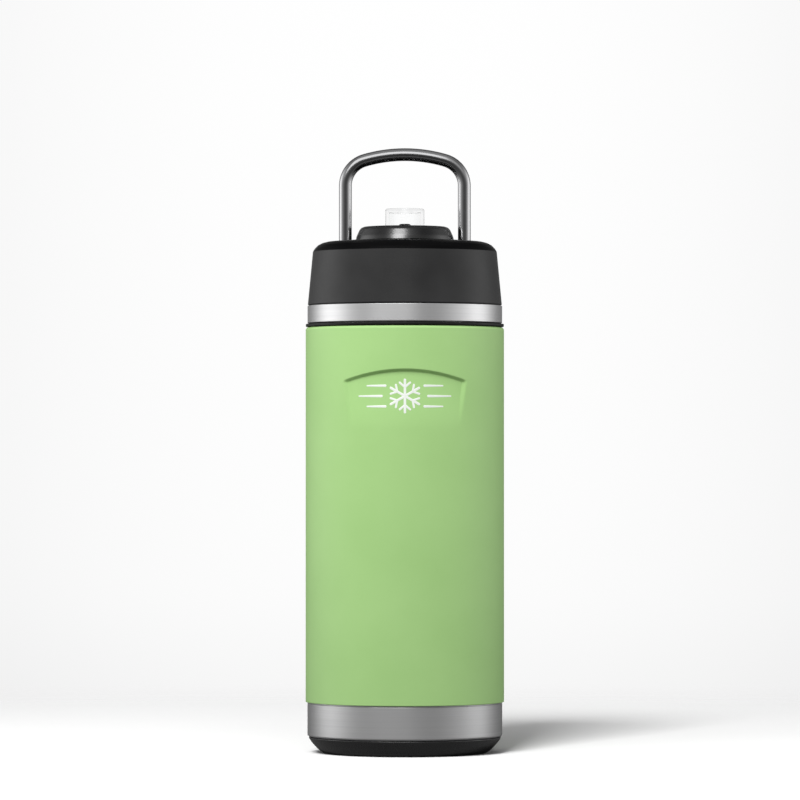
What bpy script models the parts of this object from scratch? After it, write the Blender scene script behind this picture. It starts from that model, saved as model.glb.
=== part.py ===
"""Vacuum flask: double-wall steel bottle, screw lid with a steel bail handle and a pull-up drinking spout.

Frame: origin at the centre of the base on the ground, +Z up, -Y is the front (badge side), +X is right.
Lengths below are in millimetres and are turned into metres when the meshes are made.
"""

import math

import bmesh
import bpy
from mathutils import Matrix, Vector

MM = 0.001

# ---- driving dimensions -------------------------------------------------
BODY_R = 38.0  # painted outer shell
SHELL_T = 0.55  # outer shell sheet
BASE_Z = 19.5  # lower edge of the painted shell
SHOULDER_Z = 162.85  # top of the painted shell
NECK_R = 27.2  # outside of the neck, thread root
NECK_TOP = 180.2  # top of the outer neck
RIM_Z = 181.0  # drinking rim, top of the inner vessel
LINER_R = 34.5  # inside radius of the inner vessel
LINER_T = 0.5  # inner vessel sheet
MOUTH_R = 25.0  # inside radius of the mouth
BAND_R = 37.3  # bare steel bands at the base and the lid
LID_LOW_R, LID_HIGH_R = 37.2, 35.25  # lid cone, bottom and top of its side
LID_STEP_Z, LID_EDGE_Z, LID_TOP_Z = 171.45, 191.9, 195.8
THREAD_LEAD = 5.0  # rise in one turn
THREAD_TURNS = 1.25
THREAD_Z = 168.4  # where the neck's ridge starts
BAIL_X = 22.8  # half distance between the handle's legs
BAIL_ROD = 2.45  # radius of the handle's rod
PIVOT_Z = 191.0  # handle hinge axis, parallel to X
BAIL_TOP = 229.2  # centre of the rod at the top of the arch
BAIL_CORNER, BAIL_ARCH = 10.2, 55.3  # bend radii on the rod's centreline
SLOT_LOW, SLOT_HIGH = 20.0, 25.8  # handle slot, from and to in X
EYE_POCKET = 4.1  # radius of the room for the handle's eyes
SPOUT_R = 7.45  # outside of the clear spout
SPOUT_TOP = 208.4
SPOUT_TRAVEL = 5.0  # it pushes down this far to close
DISC_R, DISC_Z = 18.9, 196.1

BIG, MID, SMALL = 32, 24, 12  # facets round large, middle and small pieces

# ---- scene --------------------------------------------------------------
for old in list(bpy.data.objects):
    bpy.data.objects.remove(old, do_unlink=True)
for old in list(bpy.data.meshes):
    bpy.data.meshes.remove(old)


def material(name, colour, roughness, metallic=0.0, alpha=1.0):
    m = bpy.data.materials.new(name)
    m.use_nodes = True
    shader = m.node_tree.nodes["Principled BSDF"]
    shader.inputs["Base Color"].default_value = (*colour, 1.0)
    shader.inputs["Roughness"].default_value = roughness
    shader.inputs["Metallic"].default_value = metallic
    shader.inputs["Alpha"].default_value = alpha
    m.diffuse_color = (*colour, alpha)
    return m


GREEN = material("green_powder_coat", (0.36, 0.60, 0.22), 0.45)
STEEL = material("brushed_steel", (0.56, 0.56, 0.56), 0.30, 1.0)
BRIGHT = material("polished_steel", (0.62, 0.62, 0.62), 0.12, 1.0)
BLACK = material("black_plastic", (0.035, 0.035, 0.036), 0.42)
GLOSS = material("gloss_black_plastic", (0.02, 0.02, 0.02), 0.18)
RUBBER = material("black_rubber", (0.028, 0.028, 0.028), 0.60)
SILICONE = material("grey_silicone", (0.55, 0.56, 0.56), 0.50)
CLEAR = material("clear_plastic", (0.92, 0.94, 0.95), 0.08, 0.0, 0.30)
FOIL = material("aluminium_foil", (0.80, 0.80, 0.81), 0.22, 1.0)
FOAM = material("white_foam", (0.80, 0.80, 0.78), 0.90)
NYLON = material("white_nylon", (0.75, 0.75, 0.72), 0.40)


# ---- modelling helpers ---------------------------------------------------
def new_object(name, bm, mat, smooth=35.0):
    mesh = bpy.data.meshes.new(name)
    bm.to_mesh(mesh)
    bm.free()
    obj = bpy.data.objects.new(name, mesh)
    bpy.context.scene.collection.objects.link(obj)
    if mat is not None:
        mesh.materials.append(mat)
    mesh.shade_smooth()
    mesh.set_sharp_from_angle(angle=math.radians(smooth))
    return obj


def spun(profile, steps):
    """bmesh of a closed profile [(radius, height), ...] in mm spun once round the Z axis."""
    bm = bmesh.new()
    verts = [bm.verts.new((r * MM, 0.0, z * MM)) for r, z in profile]
    edges = []
    for i, a in enumerate(verts):
        b = verts[(i + 1) % len(verts)]
        if max(abs(a.co.x), abs(b.co.x)) > 1e-7:  # an edge on the axis sweeps nothing
            edges.append(bm.edges.new((a, b)))
    bmesh.ops.spin(
        bm,
        geom=verts + edges,
        cent=(0, 0, 0),
        axis=(0, 0, 1),
        angle=2 * math.pi,
        steps=steps,
        use_merge=True,
        use_duplicate=False,
    )
    bmesh.ops.remove_doubles(bm, verts=bm.verts, dist=1e-6)
    bmesh.ops.recalc_face_normals(bm, faces=bm.faces)
    return bm


def turned(name, profile, steps, mat, at=(0, 0, 0), along=(0, 0, 1)):
    """A turned piece; its own Z axis is laid along a direction and moved to a point, in mm."""
    obj = new_object(name, spun(profile, steps), mat)
    obj.location = Vector(at) * MM
    obj.rotation_mode = "QUATERNION"
    obj.rotation_quaternion = Vector((0, 0, 1)).rotation_difference(Vector(along))
    return obj


def sheet(path, t):
    """Closed profile of bent sheet: the path, then its parallel copy t to the left of its direction."""
    pts = [Vector(p) for p in path]
    back = []
    for i, p in enumerate(pts):
        a = (p - pts[i - 1]).normalized() if i else None
        b = (pts[i + 1] - p).normalized() if i < len(pts) - 1 else None
        a = a or b
        b = b or a
        na, nb = Vector((-a.y, a.x)), Vector((-b.y, b.x))
        m = (na + nb).normalized()
        back.append(p + m * (t / max(0.3, m.dot(na))))
    return [tuple(p) for p in pts] + [tuple(p) for p in reversed(back)]


def helper(obj):
    obj.hide_render = True
    obj.display_type = "WIRE"
    return obj


def boolean(obj, other, operation):
    m = obj.modifiers.new(operation.lower() + "_" + other.name, "BOOLEAN")
    m.object = other
    m.operation = operation
    m.solver = "EXACT"
    helper(other)
    return m


def prism(name, outline, z0, z1):
    """A straight prism: an XY outline in mm, between two heights."""
    bm = bmesh.new()
    face = bm.faces.new([bm.verts.new((x * MM, y * MM, z0 * MM)) for x, y in outline])
    up = bmesh.ops.extrude_face_region(bm, geom=[face])
    bmesh.ops.translate(
        bm,
        verts=[v for v in up["geom"] if isinstance(v, bmesh.types.BMVert)],
        vec=(0, 0, (z1 - z0) * MM),
    )
    bmesh.ops.recalc_face_normals(bm, faces=bm.faces)
    return new_object(name, bm, None)


def slab(name, outline, x0, x1):
    """A straight prism along X: a YZ outline in mm, between two X."""
    bm = bmesh.new()
    ends = [[bm.verts.new((x * MM, y * MM, z * MM)) for y, z in outline] for x in (x0, x1)]
    n = len(outline)
    for i in range(n):
        j = (i + 1) % n
        bm.faces.new((ends[0][i], ends[0][j], ends[1][j], ends[1][i]))
    bm.faces.new(ends[0])
    bm.faces.new(ends[1])
    bmesh.ops.recalc_face_normals(bm, faces=bm.faces)
    return new_object(name, bm, None)


def thread(name, root, crest, bury, z0, wide, narrow, steps, start):
    """One helical ridge. It runs from under the wall (root +/- bury) to the crest, rising with the turn."""
    bm = bmesh.new()
    count = round(THREAD_TURNS * steps)
    rings = []
    for i in range(count + 1):
        angle = 2 * math.pi * (i / steps) + start
        z = z0 + THREAD_LEAD * i / steps
        ease = min(1.0, i / 3.0, (count - i) / 3.0)  # the ends run out in three facets
        top = root + (crest - root) * max(ease, 0.12)
        low = root + bury
        ring = []
        for r, w in ((low, wide * 1.12), (top, narrow), (top, -narrow), (low, -wide * 1.12)):
            ring.append(
                bm.verts.new((r * math.cos(angle) * MM, r * math.sin(angle) * MM, (z + w / 2) * MM))
            )
        rings.append(ring)
    for a, b in zip(rings, rings[1:]):
        for k in range(4):
            bm.faces.new((a[k], a[(k + 1) % 4], b[(k + 1) % 4], b[k]))
    bm.faces.new(rings[0])
    bm.faces.new(list(reversed(rings[-1])))
    bmesh.ops.recalc_face_normals(bm, faces=bm.faces)
    return new_object(name, bm, None)


# ---- bottle ---------------------------------------------------------------
inner_r = BODY_R - SHELL_T
shell_profile = (
    [(inner_r, BASE_Z), (BODY_R - 0.25, BASE_Z), (BODY_R, BASE_Z + 0.4)]
    + [(BODY_R, SHOULDER_Z - 0.75), (BODY_R - 0.6, SHOULDER_Z)]
    + [(29.0, SHOULDER_Z + 0.1), (27.7, SHOULDER_Z + 0.5), (NECK_R, SHOULDER_Z + 1.4)]
    + [(NECK_R, NECK_TOP), (NECK_R - 0.5, NECK_TOP), (NECK_R - 0.5, SHOULDER_Z + 1.0)]
    + [(27.6, SHOULDER_Z - 0.2), (36.8, SHOULDER_Z - 0.6), (inner_r, SHOULDER_Z - 1.4)]
)
outer_shell = turned("outer_shell", shell_profile, BIG, GREEN)
ridge = thread("neck_ridge", NECK_R, NECK_R + 1.1, -0.3, THREAD_Z, 2.2, 1.0, BIG, 0.0)
boolean(outer_shell, ridge, "UNION")

vessel_out = [
    (0, 10.4), (28.0, 10.4), (33.0, 11.8), (LINER_R + LINER_T, 16.0),
    (LINER_R + LINER_T, 154.5), (33.2, 158.8), (27.5, 161.2), (MOUTH_R + LINER_T, 163.6),
    (MOUTH_R + LINER_T, RIM_Z - 0.5), (NECK_R, RIM_Z - 0.5), (NECK_R, RIM_Z - 0.1),
]
vessel_in = [
    (NECK_R - 0.2, RIM_Z), (MOUTH_R + 0.2, RIM_Z), (MOUTH_R, RIM_Z - 0.3), (MOUTH_R, 163.4),
    (27.1, 160.8), (32.8, 158.4), (LINER_R, 154.3), (LINER_R, 16.2), (32.6, 12.3), (27.8, 10.9), (0, 10.9),
]
turned("inner_flask", vessel_out + vessel_in, BIG, STEEL)

cup_path = [
    (37.1, 25.0), (37.1, BASE_Z - 0.3), (BAND_R, BASE_Z - 0.6), (BAND_R, 6.7), (37.0, 6.5),
    (35.5, 6.5), (35.1, 5.3), (33.4, 3.7), (30.6, 2.4), (24.6, 2.4), (22.6, 4.8), (1.3, 4.8),
]
turned("base_cup", sheet(list(reversed(cup_path)), 0.5), BIG, STEEL)

pad = [
    (0, 0.8), (23.2, 0.8), (24.0, 0.0), (31.0, 0.0), (32.7, 1.1), (34.9, 3.3), (36.3, 5.2), (36.9, 6.2),
    (35.75, 6.2), (35.4, 5.0), (33.6, 3.4), (30.7, 2.1), (0, 2.1),
]
turned("base_pad", pad, BIG, RUBBER)
turned(
    "shoulder_ring",
    [(30.0, 163.25), (37.8, 163.15), (37.95, 163.3), (37.95, 164.1), (37.8, 164.2), (30.0, 164.2)],
    BIG,
    RUBBER,
)
turned("radiation_foil", [(35.75, 20.0), (35.9, 20.0), (35.9, 152.0), (35.75, 152.0)], BIG, FOIL)
turned("getter", [(0, 7.2), (5.4, 7.2), (6.0, 7.8), (6.0, 10.1), (0, 10.1)], SMALL, STEEL)
turned("vacuum_port_plug", [(0, 3.6), (3.6, 3.6), (4.0, 4.0), (4.0, 4.5), (0, 4.5)], SMALL, STEEL)

# ---- lid ------------------------------------------------------------------
lid_out = (
    [(34.7, 165.4), (36.5, 165.4), (36.5, LID_STEP_Z), (LID_LOW_R, LID_STEP_Z)]
    + [(LID_HIGH_R, LID_EDGE_Z), (34.5, 193.1), (33.3, 194.3), (31.7, 195.15), (29.9, 195.6), (27.5, LID_TOP_Z)]
    + [(9.9, LID_TOP_Z)]
)
lid_in = [(9.9, 194.1), (29.6, 194.1), (32.2, 192.8), (33.3, 191.0), (34.8, 174.0), (34.7, 171.0)]
lid_shell = turned("lid_shell", lid_out + lid_in, BIG, BLACK)
envelope = [(0, 180.0), (35.8, 180.0), (34.6, 191.8), (33.3, 193.4), (31.2, 194.8), (28.0, 195.6), (0, 195.6)]
for side, s in (("left", -1), ("right", 1)):

    def plan(points, mirror=s):
        flipped = [(mirror * x, y) for x, y in points]
        return flipped if mirror > 0 else flipped[::-1]

    box = prism(f"channel_{side}", plan([(18.2, -6.2), (27.8, -6.2), (27.8, 36), (18.2, 36)]), 185.3, 195.2)
    clip = helper(turned(f"envelope_{side}", envelope, BIG, None))
    boolean(box, clip, "INTERSECT")
    boolean(lid_shell, box, "UNION")
for side, s in (("left", -1), ("right", 1)):

    def plan(points, mirror=s):
        flipped = [(mirror * x, y) for x, y in points]
        return flipped if mirror > 0 else flipped[::-1]

    # The eye's pocket opens upward between its front lip and the groove the folded leg lies in.
    lip = [(EYE_POCKET * math.cos(a), PIVOT_Z + EYE_POCKET * math.sin(a)) for a in
           [math.radians(135 + 180 * i / 10) for i in range(11)]]
    boolean(lid_shell, slab(f"slot_{side}", [(lip[0][0], 205.0)] + lip + [(45.0, lip[-1][1]), (45.0, 205.0)],
                            *sorted((s * SLOT_LOW, s * SLOT_HIGH))), "DIFFERENCE")
    flare = prism(f"flare_{side}", plan([(18.4, 31.0), (20.5, 23.4), (23.0, 23.4), (23.0, 45), (18.4, 45)]),
                  lip[-1][1], 206.0)
    boolean(lid_shell, flare, "DIFFERENCE")
    pin_hole = turned(
        f"pin_hole_{side}", [(0, 0), (1.75, 0), (1.75, 14.0), (0, 14.0)], SMALL, None,
        at=(16.0 if s > 0 else -30.0, 0, PIVOT_Z), along=(1, 0, 0),
    )
    boolean(lid_shell, pin_hole, "DIFFERENCE")

turned(
    "lid_band",
    [(35.2, 164.5), (37.0, 164.5), (BAND_R, 164.8), (BAND_R, 170.9), (37.1, 171.15),
     (36.8, 171.15), (36.8, 165.0), (35.2, 165.0)],
    BIG,
    STEEL,
)
lid_liner = turned(
    "lid_liner",
    [(28.9, 166.2), (29.4, 165.7), (34.4, 165.7), (34.4, 167.5), (31.0, 167.5), (31.0, 184.8), (9.6, 184.8),
     (9.6, 182.8), (22.9, 182.8), (22.9, 176.2), (24.2, 176.2), (24.5, 176.6), (24.5, 182.8), (28.9, 182.8)],
    BIG,
    BLACK,
)
vent_hole = turned("vent_hole", [(0, 180), (1.6, 180), (1.6, 190), (0, 190)], SMALL, None, at=(0, 16.5, 0))
boolean(lid_liner, vent_hole, "DIFFERENCE")
ridge = thread(
    "lid_ridge", 28.9, 27.8, 0.3, THREAD_Z + THREAD_LEAD / 2 - 1.6, 2.0, 0.9, BIG, math.pi
)
boolean(lid_liner, ridge, "UNION")

turned("lid_gasket", [(24.9, 181.3), (27.6, 181.3), (27.6, 182.5), (24.9, 182.5)], BIG, SILICONE)
turned("foam_ring", [(31.3, 167.8), (34.0, 167.8), (33.5, 184.0), (31.3, 184.0)], BIG, FOAM)
turned("foam_disc", [(9.8, 185.1), (14.0, 185.1), (14.0, 193.7), (9.8, 193.7)], MID, FOAM)

# ---- spout ----------------------------------------------------------------
base_profile = [
    (9.3, 179.0), (9.3, DISC_Z), (11.0, DISC_Z), (11.0, 199.6), (16.0, 199.6), (16.7, DISC_Z),
    (DISC_R, DISC_Z), (18.5, 197.8), (17.35, 200.3), (16.7, 201.0), (15.8, 201.4), (8.6, 201.6), (7.85, 201.2),
    (7.85, 186.0), (4.6, 186.0), (4.6, 200.3), (4.0, 200.9), (2.3, 201.1), (2.3, 202.1), (1.8, 202.5), (0, 202.6),
    (0, 199.6), (3.2, 199.6), (3.2, 184.7), (7.6, 184.7), (7.6, 179.0),
]
spout_base = turned("spout_base", list(reversed(base_profile)), MID, GLOSS)
for k in range(2):
    window = prism(f"window_{k}", [(-6.2, -1.1), (6.2, -1.1), (6.2, 1.1), (-6.2, 1.1)], 196.3, 199.0)
    window.rotation_euler = (0, 0, math.radians(45 + 90 * k))
    boolean(spout_base, window, "DIFFERENCE")

turned(
    "spout",
    [(6.1, 191.6), (7.2, 191.6), (SPOUT_R, 191.9), (SPOUT_R, SPOUT_TOP - 0.8), (7.2, SPOUT_TOP - 0.2),
     (6.7, SPOUT_TOP), (2.9, SPOUT_TOP), (2.6, SPOUT_TOP - 0.3), (2.6, SPOUT_TOP - 1.5),
     (5.5, SPOUT_TOP - 1.5), (5.95, SPOUT_TOP - 2.0), (5.95, 191.8)],
    MID,
    CLEAR,
)
cord = [(5.27 + 0.5 * math.cos(a), 193.5 + 0.5 * math.sin(a)) for a in [2 * math.pi * i / 6 for i in range(6)]]
turned("spout_o_ring", cord, 20, SILICONE)
turned("spout_gasket", [(9.6, 181.3), (12.4, 181.3), (12.4, 182.5), (9.6, 182.5)], 24, SILICONE)
spout_nut = turned("spout_nut", [(9.6, 178.9), (12.6, 178.9), (13.0, 179.3), (13.0, 181.0), (9.6, 181.0)], 24, BLACK)
for k in range(3):
    notch = prism(f"notch_{k}", [(-16, -1.2), (16, -1.2), (16, 1.2), (-16, 1.2)], 177.5, 179.9)
    notch.rotation_euler = (0, 0, math.pi * k / 3)
    boolean(spout_nut, notch, "DIFFERENCE")
turned(
    "vent_valve",
    [(0, 181.7), (2.6, 181.7), (3.1, 182.5), (1.2, 182.5), (1.2, 185.1), (1.9, 185.1), (1.5, 186.3), (0, 186.6)],
    SMALL,
    SILICONE,
    at=(0, 16.5, 0),
)

# ---- bail handle ------------------------------------------------------------
lean = math.asin((BAIL_X - BAIL_CORNER) / (BAIL_ARCH - BAIL_CORNER))
bend_z = BAIL_TOP - BAIL_ARCH + (BAIL_ARCH - BAIL_CORNER) * math.cos(lean)


def bail_half():
    """Right half of the rod from its lower end to the top: centre point (x, z), direction, rod half width in X."""
    out = [(Vector((BAIL_X, z)), Vector((0, 1)), w) for z, w in
           ((192.2, 1.95), (194.6, 1.95), (195.9, BAIL_ROD), (bend_z, BAIL_ROD))]
    steps = 6
    for i in range(1, steps + 1):
        a = (math.pi / 2 - lean) * i / steps
        out.append((Vector((BAIL_X - BAIL_CORNER + BAIL_CORNER * math.cos(a), bend_z + BAIL_CORNER * math.sin(a))),
                    Vector((-math.sin(a), math.cos(a))), BAIL_ROD))
    steps = 3
    for i in range(1, steps + 1):
        a = math.pi / 2 - lean + lean * i / steps
        out.append((Vector((BAIL_ARCH * math.cos(a), BAIL_TOP - BAIL_ARCH + BAIL_ARCH * math.sin(a))),
                    Vector((-math.sin(a), math.cos(a))), BAIL_ROD))
    return out


def bail():
    right = bail_half()
    left = [(Vector((-p.x, p.y)), Vector((d.x, -d.y)), w) for p, d, w in reversed(right[:-1])]
    bm = bmesh.new()
    rings, sides = [], 12
    for p, d, w in right + left:
        across = Vector((d.y, -d.x))
        ring = []
        for k in range(sides):
            a = 2 * math.pi * k / sides
            c = p + across * (w * math.cos(a))
            ring.append(bm.verts.new((c.x * MM, BAIL_ROD * math.sin(a) * MM, c.y * MM)))
        rings.append(ring)
    for a, b in zip(rings, rings[1:]):
        bmesh.ops.bridge_loops(
            bm,
            edges=[bm.edges.get((r[k], r[(k + 1) % sides])) or bm.edges.new((r[k], r[(k + 1) % sides]))
                   for r in (a, b) for k in range(sides)],
        )
    bm.faces.new(rings[0])
    bm.faces.new(rings[-1])
    bmesh.ops.recalc_face_normals(bm, faces=bm.faces)
    return bm


# The handle's own origin is on its hinge axis.
pivot = bpy.data.objects.new("handle_axis", None)
bpy.context.scene.collection.objects.link(pivot)
pivot.location = (0, 0, PIVOT_Z * MM)
rod = bail()
bmesh.ops.translate(rod, verts=rod.verts, vec=(0, 0, -PIVOT_Z * MM))
handle = new_object("handle", rod, BRIGHT)
handle.parent = pivot
for side, s in (("left", -1), ("right", 1)):
    eye = turned(f"eye_{side}", [(0, -2.0), (3.1, -2.0), (3.5, -1.6), (3.5, 1.6), (3.1, 2.0), (0, 2.0)], 20, None,
                 at=(s * BAIL_X, 0, PIVOT_Z), along=(1, 0, 0))
    boolean(handle, eye, "UNION")
for side, s in (("left", -1), ("right", 1)):
    bore = turned(f"eye_bore_{side}", [(0, -6), (1.75, -6), (1.75, 6), (0, 6)], SMALL, None,
                  at=(s * BAIL_X, 0, PIVOT_Z), along=(1, 0, 0))
    boolean(handle, bore, "DIFFERENCE")
    turned(f"handle_pin_{side}", [(0, -4.5), (1.25, -4.5), (1.5, -4.25), (1.5, 4.25), (1.25, 4.5), (0, 4.5)], SMALL,
           STEEL, at=(s * BAIL_X, 0, PIVOT_Z), along=(1, 0, 0))
    for place, x in (("inner", 20.25), ("outer", 25.05)):
        turned(f"washer_{side}_{place}", [(1.75, 0), (3.3, 0), (3.3, 0.5), (1.75, 0.5)], SMALL, NYLON,
               at=(x if s > 0 else -x - 0.5, 0, PIVOT_Z), along=(1, 0, 0))

bpy.context.view_layer.update()
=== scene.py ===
"""Looks of the vacuum flask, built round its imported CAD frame. Millimetres below are turned into metres by MM."""

import math

import bmesh
import bpy
from mathutils import Matrix, Vector


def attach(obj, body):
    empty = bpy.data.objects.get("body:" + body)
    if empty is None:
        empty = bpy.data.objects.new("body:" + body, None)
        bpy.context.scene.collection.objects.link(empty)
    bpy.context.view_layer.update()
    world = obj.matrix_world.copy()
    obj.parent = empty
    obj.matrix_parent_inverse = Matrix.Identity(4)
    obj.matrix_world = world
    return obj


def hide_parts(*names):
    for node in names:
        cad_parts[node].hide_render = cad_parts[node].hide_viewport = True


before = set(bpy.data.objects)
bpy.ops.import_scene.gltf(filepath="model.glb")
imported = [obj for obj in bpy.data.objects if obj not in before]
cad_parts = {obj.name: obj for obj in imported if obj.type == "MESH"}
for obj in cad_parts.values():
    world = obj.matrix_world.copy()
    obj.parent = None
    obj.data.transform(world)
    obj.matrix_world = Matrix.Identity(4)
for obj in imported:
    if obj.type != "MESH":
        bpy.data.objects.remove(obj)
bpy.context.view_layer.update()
MM = 0.001
scene = bpy.context.scene
scene.view_settings.view_transform = "Standard"

# ---- camera --------------------------------------------------------------
VIEW_X, EYE_Z, AIM_Z, EYE_Y = -0.00186, 0.1140, 0.1351, -2.0
cam_data = bpy.data.cameras.new("camera")
cam_data.lens = 234.8
cam_data.sensor_width = 36.0
camera = bpy.data.objects.new("camera", cam_data)
scene.collection.objects.link(camera)
camera.location = (VIEW_X, EYE_Y, EYE_Z)
camera.rotation_euler = (Vector((VIEW_X, 0, AIM_Z)) - camera.location).to_track_quat("-Z", "Y").to_euler()
scene.camera = camera


# ---- node helpers ----------------------------------------------------------
class Nodes:
    """Short names for building a material's node tree."""

    def __init__(self, name):
        self.mat = bpy.data.materials.new(name)
        self.mat.use_nodes = True
        self.tree = self.mat.node_tree
        self.tree.nodes.clear()
        self.out = self.add("ShaderNodeOutputMaterial")
        self.bsdf = self.add("ShaderNodeBsdfPrincipled")
        self.link(self.bsdf.outputs[0], self.out.inputs["Surface"])
        self.coords = self.add("ShaderNodeTexCoord").outputs["Object"]

    def add(self, kind, **props):
        n = self.tree.nodes.new(kind)
        for k, v in props.items():
            setattr(n, k, v)
        return n

    def link(self, a, b):
        self.tree.links.new(a, b)

    def put(self, socket, value):
        if isinstance(value, (int, float, tuple)):
            socket.default_value = value
        else:
            self.link(value, socket)

    def scaled(self, vec):
        m = self.add("ShaderNodeMapping")
        self.link(self.coords, m.inputs["Vector"])
        m.inputs["Scale"].default_value = vec
        return m.outputs[0]

    def noise(self, scale, detail=2.0, rough=0.5, vec=None, distort=0.0):
        n = self.add("ShaderNodeTexNoise")
        self.link(vec or self.coords, n.inputs["Vector"])
        n.inputs["Scale"].default_value = scale
        n.inputs["Detail"].default_value = detail
        n.inputs["Roughness"].default_value = rough
        n.inputs["Distortion"].default_value = distort
        return n.outputs["Fac"]

    def cells(self, scale, vec=None):
        n = self.add("ShaderNodeTexVoronoi")
        self.link(vec or self.coords, n.inputs["Vector"])
        n.inputs["Scale"].default_value = scale
        return n.outputs["Distance"]

    def math(self, op, a, b=0.0, c=0.0, clamp=False):
        n = self.add("ShaderNodeMath", operation=op, use_clamp=clamp)
        for s, v in zip(n.inputs, (a, b, c)):
            self.put(s, v)
        return n.outputs[0]

    def span(self, value, lo, hi, a=0.3, b=0.7):
        """value from a..b to lo..hi"""
        n = self.add("ShaderNodeMapRange")
        self.put(n.inputs["Value"], value)
        for k, v in (("From Min", a), ("From Max", b), ("To Min", lo), ("To Max", hi)):
            n.inputs[k].default_value = v
        return n.outputs["Result"]

    def mix(self, fac, a, b):
        n = self.add("ShaderNodeMix", data_type="RGBA")
        self.put(n.inputs[0], fac)
        self.put(n.inputs[6], (*a, 1.0) if isinstance(a, tuple) and len(a) == 3 else a)
        self.put(n.inputs[7], (*b, 1.0) if isinstance(b, tuple) and len(b) == 3 else b)
        return n.outputs[2]

    def bump(self, height, distance, strength=1.0, normal=None):
        n = self.add("ShaderNodeBump")
        self.link(height, n.inputs["Height"])
        n.inputs["Distance"].default_value = distance
        n.inputs["Strength"].default_value = strength
        if normal is not None:
            self.link(normal, n.inputs["Normal"])
        return n.outputs[0]

    def set(self, **sockets):
        for k, v in sockets.items():
            name = k.replace("_", " ")
            if isinstance(v, tuple) and len(v) == 3 and name in ("Base Color",):
                v = (*v, 1.0)
            self.put(self.bsdf.inputs[name], v)
        return self


def paint(name, light, dark):
    n = Nodes(name)
    cloud = n.noise(35.0, 3.0)
    peel = n.noise(760.0, 1.5, 0.4)
    grain = n.noise(4200.0, 2.0, 0.6)
    speck = n.cells(2600.0)
    base = n.mix(n.span(cloud, 0.0, 1.0), dark, light)
    base = n.mix(n.span(speck, 0.10, 0.0, 0.05, 0.45), base, tuple(c * 0.72 for c in dark))
    n.set(Base_Color=base, Roughness=n.span(grain, 0.46, 0.60), Specular_IOR_Level=0.26)
    n.set(Normal=n.bump(grain, 0.000012, 0.8, n.bump(peel, 0.00002, 0.6)))
    return n.mat


def turned_steel(name, low, high, rough_low, rough_high, aniso=0.7, lines=1.0, metal=1.0):
    """Steel brushed round the axis: fine streaks that follow the turn."""
    n = Nodes(name)
    fine = n.noise(1.0, 2.0, 0.6, n.scaled((26.0, 26.0, 9000.0)))
    broad = n.noise(1.0, 2.0, 0.5, n.scaled((9.0, 9.0, 1500.0)))
    cloud = n.noise(28.0, 2.0)
    streak = n.math("ADD", n.math("MULTIPLY", fine, 0.6), n.math("MULTIPLY", broad, 0.4))
    n.set(
        Base_Color=n.mix(n.span(streak, 0.0, 1.0, 0.35, 0.65), low, high),
        Metallic=metal,
        Roughness=n.math("ADD", n.span(streak, rough_high, rough_low, 0.35, 0.65), n.span(cloud, -0.02, 0.02)),
        Anisotropic=aniso,
        Anisotropic_Rotation=0.25,
        Normal=n.bump(fine, 0.000006 * lines, 0.7),
    )
    t = n.add("ShaderNodeTangent", direction_type="RADIAL", axis="Z")
    n.link(t.outputs[0], n.bsdf.inputs["Tangent"])
    return n.mat


def satin_steel(name, tone, rough, scale=(1.0, 1.0, 1.0), fine=1500.0, depth=0.000003):
    n = Nodes(name)
    scratch = n.noise(fine, 3.0, 0.6, n.scaled(scale))
    cloud = n.noise(60.0, 2.0)
    n.set(
        Base_Color=n.mix(n.span(cloud, 0.0, 1.0), tuple(c * 0.94 for c in tone), tone),
        Metallic=1.0,
        Roughness=n.span(scratch, rough * 0.85, rough * 1.15),
    )
    if depth:
        n.set(Normal=n.bump(scratch, depth, 0.5))
    return n.mat


def plastic(name, tone, rough, grain_scale, grain_depth, spec=0.5, vary=0.25):
    n = Nodes(name)
    fine = n.noise(grain_scale, 3.0, 0.65)
    cell = n.cells(grain_scale * 0.8)
    cloud = n.noise(45.0, 2.0)
    height = n.math("ADD", n.math("MULTIPLY", fine, 0.7), n.math("MULTIPLY", cell, 0.5))
    tint = n.mix(n.span(cloud, 0.0, 1.0), tuple(c * (1 - vary) for c in tone), tuple(c * (1 + vary) for c in tone))
    n.set(
        Base_Color=tint,
        Roughness=n.span(height, rough * 0.85, rough * 1.15, 0.35, 0.85),
        Specular_IOR_Level=spec,
        Normal=n.bump(height, grain_depth, 0.9),
    )
    return n.mat


def gloss(name, tone, rough, coat=0.0):
    n = Nodes(name)
    ripple = n.noise(90.0, 1.0)
    dust = n.noise(2500.0, 3.0, 0.7)
    n.set(
        Base_Color=n.mix(n.span(dust, 0.0, 1.0, 0.55, 0.8), tone, tuple(c * 1.6 + 0.002 for c in tone)),
        Roughness=n.span(dust, rough, rough * 1.6, 0.5, 0.8),
        Coat_Weight=coat,
        Specular_IOR_Level=0.25,
        Coat_Roughness=0.27,
        Normal=n.bump(ripple, 0.00004, 0.35),
    )
    return n.mat


def clear(name):
    n = Nodes(name)
    haze = n.noise(900.0, 2.0)
    n.set(
        Base_Color=n.mix(n.span(haze, 0.0, 1.0), (0.992, 0.996, 0.996), (0.998, 1.0, 1.0)),
        Roughness=n.span(haze, 0.0, 0.003),
        IOR=1.15,
        Transmission_Weight=1.0,
    )
    return n.mat


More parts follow.
